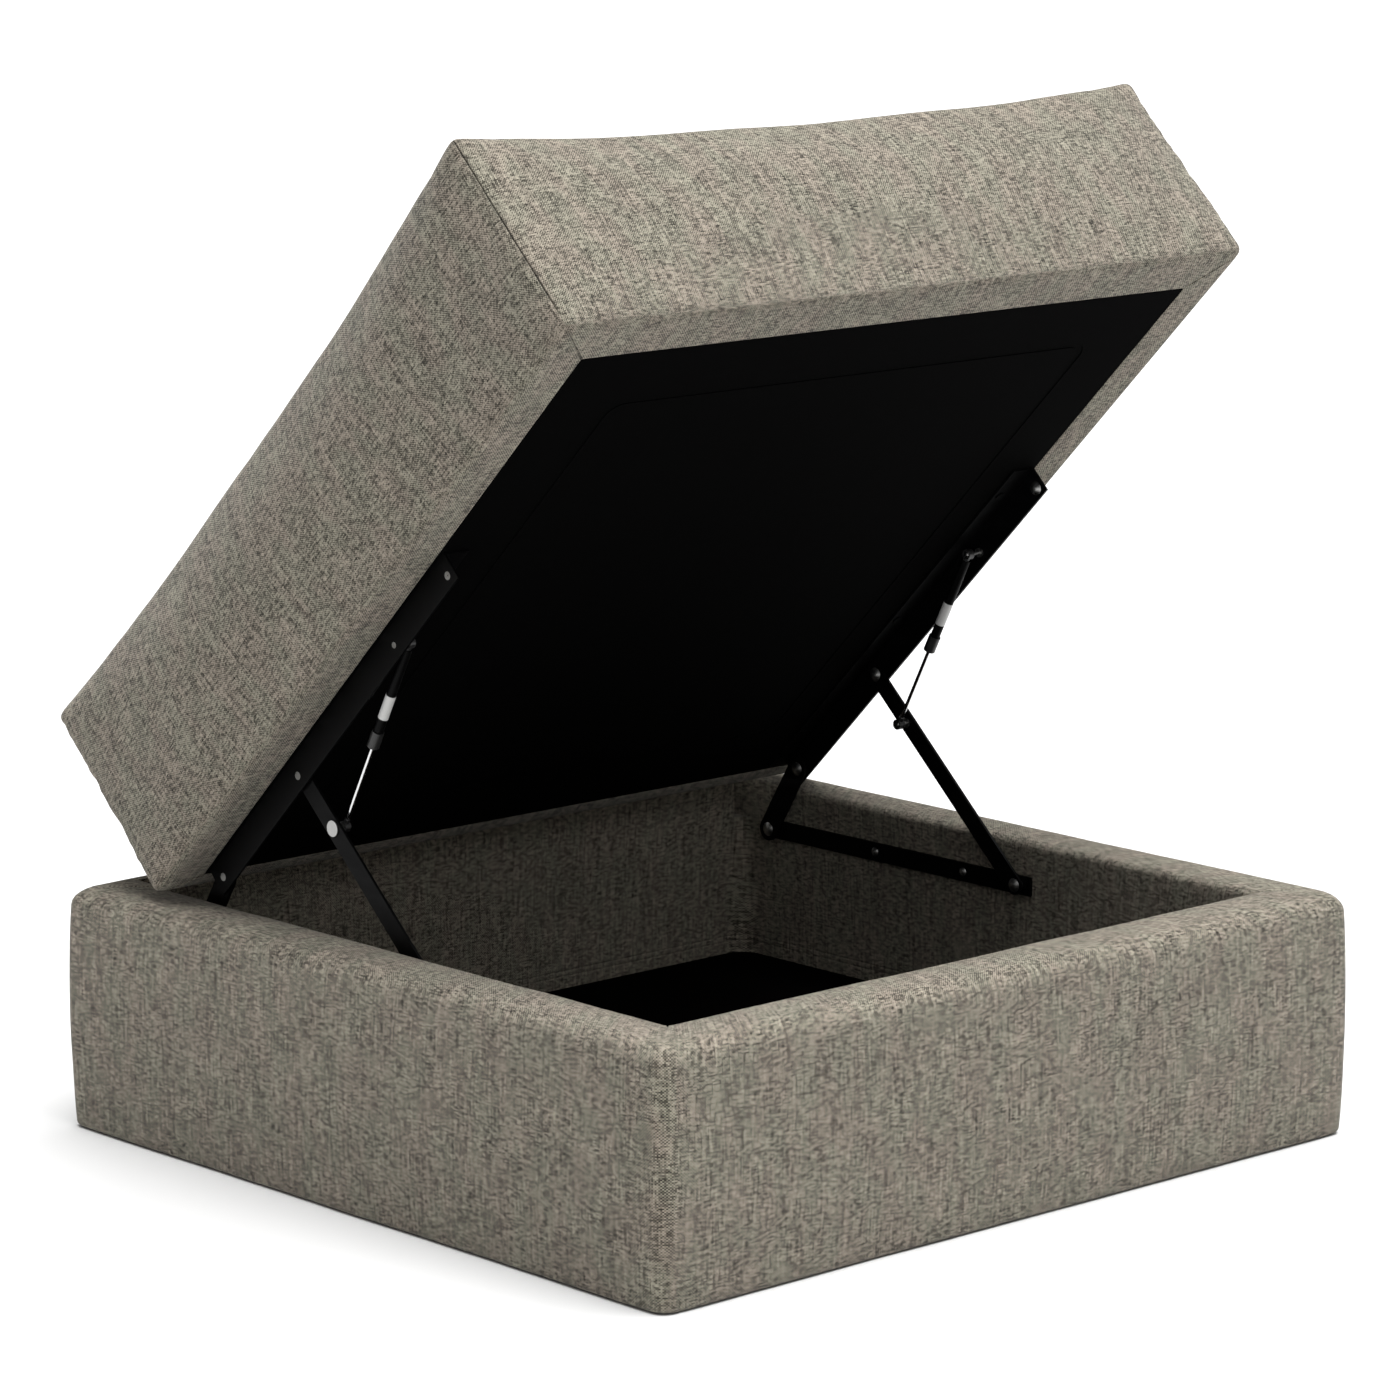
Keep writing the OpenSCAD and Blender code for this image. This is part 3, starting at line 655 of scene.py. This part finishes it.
def cut_rail_slots(cover):
    """Opens the rear wall where the shut lid's rails and rear links drop in."""
    outer_x = HALF_WIDTH - SIDE_WALL + SLOT_OVERCUT
    inner_y = REAR_FACE - REAR_WALL
    for side in (-1, 1):
        near, far = sorted((side * outer_x, side * (outer_x - SLOT_WIDTH)))
        low = Vector((near, inner_y - SLOT_LEAD, SLOT_BOTTOM))
        high = Vector((far, inner_y + SLOT_DEPTH, BASE_TOP + 0.1))
        cutter = box_mesh("cutter", low, high)
        cutter.data.materials.append(cover.data.materials[0])
        cut = cover.modifiers.new("slot", "BOOLEAN")
        cut.operation = "DIFFERENCE"
        cut.solver = "EXACT"
        cut.object = cutter
        apply_modifiers(cover)
        bpy.data.objects.remove(cutter)
    cover.data.set_sharp_from_angle(angle=COVER_SHARP_ANGLE)


def box_mesh(name, low, high):
    """A plain box between two corners, with the weave's layer."""
    corners = [(x, y, z) for z in (low.z, high.z) for y in (low.y, high.y) for x in (low.x, high.x)]
    faces = [(0, 2, 3, 1), (4, 5, 7, 6), (0, 1, 5, 4), (2, 6, 7, 3), (0, 4, 6, 2), (1, 3, 7, 5)]
    uvs = []
    for face in faces:
        for index in face:
            x, y, z = corners[index]
            uvs.append((x + y, z))
    mesh = bpy.data.meshes.new(name)
    mesh.from_pydata(corners, [], faces)
    mesh.uv_layers.new(name="weave").data.foreach_set("uv", np.asarray(uvs, dtype=np.float32).ravel())
    piece = bpy.data.objects.new(name, mesh)
    scene.collection.objects.link(piece)
    return piece


# ---------------------------------------------------------------- lid cushion

def lid_span(node):
    """Lowest and highest (x, along, out) of a CAD node in the open lid's own axes."""
    world = nodes[node].matrix_world
    places = [world @ vertex.co for vertex in nodes[node].data.vertices]
    rows = np.array([(place.x, place.dot(ALONG), place.dot(OUT)) for place in places])
    return rows.min(0).tolist(), rows.max(0).tolist()


COVER_LOW, COVER_HIGH = lid_span("lid_cover")
LINER_LOW, LINER_HIGH = lid_span("lid_liner")
GRID_STEP = 13 * MM
EDGE_ROWS = (2.2 * MM, 5.5 * MM, 11 * MM)
CLOSE = 0.1 * MM

# The cushion starts a little larger than the CAD cover, with round edges, and steps up over the liner
COVER_GROWTH = 4 * MM
LID_EDGE_R = 11 * MM
LINER_CLEAR = 0.4 * MM
LINER_LIP = 2 * MM

# The top edges are drawn in and down between the corners
EDGE_PULL = 5 * MM
EDGE_PULL_REACH = 90 * MM

# The filling's push, its frames and the most it may move the cloth
PRESSURE = 0.28
SWELL_FRAMES = 20
MOST_SWELL = 30 * MM

# The upright corner seams with the gathers beside them, and the seams across the underside's corners
SEAM_DEPTH = 3.4 * MM
PUCKER_REACH = 26 * MM
GATHER_HEIGHT = 2.4 * MM
MITRE_DEPTH = 1.8 * MM
MITRE_HALF_WIDTH = 1.5 * MM
MITRE_START = 0.12
CUSHION_SHARP_ANGLE = radians(38)

# Each panel's cloth is cut from its own place, so that the weave doesn't run on from one to the next
PANEL_SHIFT = 0.37
END_SHIFT = 0.21


def spaced(stops):
    """Evenly filled values between the stops, which are all kept."""
    values = [stops[0]]
    for low, high in zip(stops, stops[1:]):
        count = max(1, round((high - low) / GRID_STEP))
        values += [low + (high - low) * (i + 1) / count for i in range(count)]
    return values


def cushion_lines(low, high):
    """The grid's values along each axis, with rows close to the edges and at the liner's edge."""
    lines = []
    for axis in range(3):
        stops = [low[axis], high[axis]]
        for row in EDGE_ROWS:
            stops += [low[axis] + row, high[axis] - row]
        if axis < 2:
            for outward, edge in ((-1, LINER_LOW[axis]), (1, LINER_HIGH[axis])):
                for past in (-LINER_CLEAR, LINER_CLEAR, LINER_CLEAR + LINER_LIP):
                    stops.append(edge + outward * past)
        lines.append(spaced(sorted(stops)))
    return lines


def on_upright_edge(place, low, high):
    """Whether a place is on one of the box's four upright edges, where the seams are."""
    return all(min(abs(place[i] - low[i]), abs(place[i] - high[i])) < CLOSE for i in (0, 1))


def make_lid_cushion(material):
    """The boxed lid cushion, made in the lid's own axes and then turned to the open lid."""
    low = Vector((COVER_LOW[0] - COVER_GROWTH, COVER_LOW[1] - COVER_GROWTH, COVER_LOW[2]))
    high = Vector([value + COVER_GROWTH for value in COVER_HIGH])
    piece = box_grid("lid_cushion", *cushion_lines(low, high), material)
    seam = piece.vertex_groups.new(name="seam")
    for vertex in piece.data.vertices:
        if on_upright_edge(vertex.co, low, high):
            seam.add([vertex.index], 1.0, "REPLACE")
        vertex.co = rounded(vertex.co, low, high)
        vertex.co += edge_pull(vertex.co, low, high)
        if over_liner(vertex.co) and vertex.co.z < low.z + CLOSE:
            vertex.co.z = LINER_HIGH[2] + LINER_CLEAR
    face_outwards(piece)
    inflate(piece)
    soften = piece.modifiers.new("soften", "SUBSURF")
    soften.levels = soften.render_levels = 1
    apply_modifiers(piece)
    pucker(piece, low, high)
    cut_mitres(piece, low, high)
    piece.data.transform(Matrix((
        (1, ALONG.x, OUT.x, 0),
        (0, ALONG.y, OUT.y, 0),
        (0, ALONG.z, OUT.z, 0),
        (0, 0, 0, 1))))
    face_outwards(piece)
    piece.data.set_sharp_from_angle(angle=CUSHION_SHARP_ANGLE)
    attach(piece, "lid")
    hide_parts("lid_cover")
    return piece


def over_liner(place):
    """Whether a place in the lid's own axes lies inside the liner's outline."""
    return all(LINER_LOW[i] < place[i] < LINER_HIGH[i] for i in (0, 1))


def rounded(place, low, high):
    """Moves a place on a box's skin onto the same box with round edges."""
    inner = Vector([clamp(place[i], low[i] + LID_EDGE_R, high[i] - LID_EDGE_R) for i in range(3)])
    away = Vector(place) - inner
    return inner + away.normalized() * LID_EDGE_R


def edge_pull(place, low, high):
    """How far the cloth is drawn in along the top edges, most of all halfway between two corners."""
    pull = Vector((0, 0, 0))
    below = max(0.0, 1 - (high.z - place.z) / EDGE_PULL_REACH)
    for axis, other in ((0, 1), (1, 0)):
        middle = (low[other] + high[other]) / 2
        half = (high[other] - low[other]) / 2
        span = 1 - abs((place[other] - middle) / half) ** 3
        for inward, end in ((1, low[axis]), (-1, high[axis])):
            beside = max(0.0, 1 - abs(place[axis] - end) / EDGE_PULL_REACH)
            amount = EDGE_PULL * span * (below * beside) ** 2
            pull[axis] += inward * amount
            pull.z -= amount
    return pull


def pucker(piece, low, high):
    """Sinks the four upright corner seams, gathers the cloth beside them and leaves the panels uneven."""
    middle = (low + high) / 2
    moves = []
    for vertex in piece.data.vertices:
        place = vertex.co
        sunk = vertex.groups[0].weight ** 2 if vertex.groups else 0.0
        inward = Vector((-1 if place.x > middle.x else 1, -1 if place.y > middle.y else 1, 0)).normalized()
        corner = Vector((high.x if place.x > middle.x else low.x, high.y if place.y > middle.y else low.y))
        near = max(0.0, 1 - (place.to_2d() - corner).length / PUCKER_REACH)
        rise = clamp((place.z - low.z - LID_EDGE_R) / (2 * LID_EDGE_R))
        gather = ripple(Vector((place.x, place.y, place.z * 3)), 35 * MM, GATHER_HEIGHT) * near
        uneven = ripple(place, 140 * MM, 1.6 * MM) + ripple(place, 40 * MM, 0.4 * MM)
        moves.append(inward * SEAM_DEPTH * sunk * rise + vertex.normal * (gather + uneven) * rise)
    for vertex, move in zip(piece.data.vertices, moves):
        vertex.co += move


def cut_mitres(piece, low, high):
    """Sinks a narrow seam across the underside from each corner of the cushion to the liner's corner."""
    shape = bmesh.new()
    shape.from_mesh(piece.data)
    for end_x, liner_x in ((low.x, LINER_LOW[0]), (high.x, LINER_HIGH[0])):
        for end_y, liner_y in ((low.y, LINER_LOW[1]), (high.y, LINER_HIGH[1])):
            corner = Vector((end_x, end_y, low.z))
            run = Vector((liner_x, liner_y, low.z)) - corner
            across = Vector((-run.y, run.x, 0)).normalized()
            for shift in (-MITRE_HALF_WIDTH, 0, MITRE_HALF_WIDTH):
                faces = [face for face in shape.faces if on_mitre(face.calc_center_median(), corner, run)]
                edges = {edge for face in faces for edge in face.edges}
                ends = {vertex for face in faces for vertex in face.verts}
                bmesh.ops.bisect_plane(shape, geom=[*faces, *edges, *ends], dist=0.02 * MM,
                                       plane_co=corner + across * shift, plane_no=across)
            for vertex in shape.verts:
                if on_mitre(vertex.co, corner, run) and abs((vertex.co - corner).dot(across)) < 0.03 * MM:
                    vertex.co.z += MITRE_DEPTH
    shape.to_mesh(piece.data)
    shape.free()


def on_mitre(place, corner, run):
    """Whether a place is on the cushion's underside, between the corner and the liner."""
    share = (place - corner).dot(run) / run.length_squared
    return MITRE_START < share < 1.0 and place.z < corner.z + 1 * MM and not over_liner(place)


def box_grid(name, xs, ys, zs, material):
    """The closed skin of a box, with a vertex at each grid place and each side's cloth laid flat on it."""
    numbers = {}
    points = []

    def vertex(i, j, k):
        if (i, j, k) not in numbers:
            numbers[i, j, k] = len(points)
            points.append((xs[i], ys[j], zs[k]))
        return numbers[i, j, k]

    faces = []
    uvs = []
    last = (len(xs) - 1, len(ys) - 1, len(zs) - 1)
    lines = (xs, ys, zs)
    for fixed, first, second in ((2, 0, 1), (1, 0, 2), (0, 1, 2)):
        for end in (0, last[fixed]):
            for a in range(last[first]):
                for b in range(last[second]):
                    face = []
                    for p, q in ((a, b), (a + 1, b), (a + 1, b + 1), (a, b + 1)):
                        index = [0, 0, 0]
                        index[fixed], index[first], index[second] = end, p, q
                        face.append(vertex(*index))
                        u = lines[first][p] + PANEL_SHIFT * fixed
                        v = lines[second][q] + END_SHIFT * end
                        uvs.append((u, v))
                    faces.append(tuple(face))
    return make_piece(name, points, faces, uvs, material)


def inflate(piece):
    """Blows the cover up like a filled cushion, with its underside held, and keeps the result."""
    held = piece.vertex_groups.new(name="held")
    rest = [vertex.co.copy() for vertex in piece.data.vertices]
    bottom = [i for i, place in enumerate(rest) if place.z < LINER_HIGH[2] + 2 * LINER_CLEAR]
    held.add(bottom, 1.0, "REPLACE")
    cloth = piece.modifiers.new("cloth", "CLOTH")
    fabric = cloth.settings
    fabric.quality = 6
    fabric.mass = 0.4
    fabric.tension_stiffness = 25
    fabric.compression_stiffness = 25
    fabric.shear_stiffness = 12
    fabric.bending_stiffness = 2.0
    fabric.use_pressure = True
    fabric.uniform_pressure_force = PRESSURE
    fabric.vertex_group_mass = "held"
    fabric.effector_weights.gravity = 0
    cloth.collision_settings.use_collision = False
    cloth.point_cache.frame_start = 1
    cloth.point_cache.frame_end = SWELL_FRAMES
    for step in range(1, SWELL_FRAMES + 1):
        scene.frame_set(step)
    graph = bpy.context.evaluated_depsgraph_get()
    blown = piece.evaluated_get(graph).data
    for vertex, start, end in zip(piece.data.vertices, rest, blown.vertices):
        move = end.co - start
        if move.length > MOST_SWELL:
            move *= MOST_SWELL / move.length
        vertex.co = start + move
    piece.modifiers.remove(cloth)
    piece.vertex_groups.remove(held)
    scene.frame_set(1)


# ---------------------------------------------------------------- build

make_camera()
scene.view_settings.view_transform = "Standard"
make_world(HORIZON_LIGHT, OVERHEAD_LIGHT)
make_soft_sun("overhead", OVERHEAD_SUN, OVERHEAD_SPREAD, OVERHEAD_STRENGTH)
make_soft_sun("fill", FILL_SUN, FILL_SPREAD, FILL_STRENGTH)
make_floor()
materials = make_materials()
dress_cad_nodes(materials)
make_base_cover(materials["upholstery"])
make_lid_cushion(materials["upholstery"])
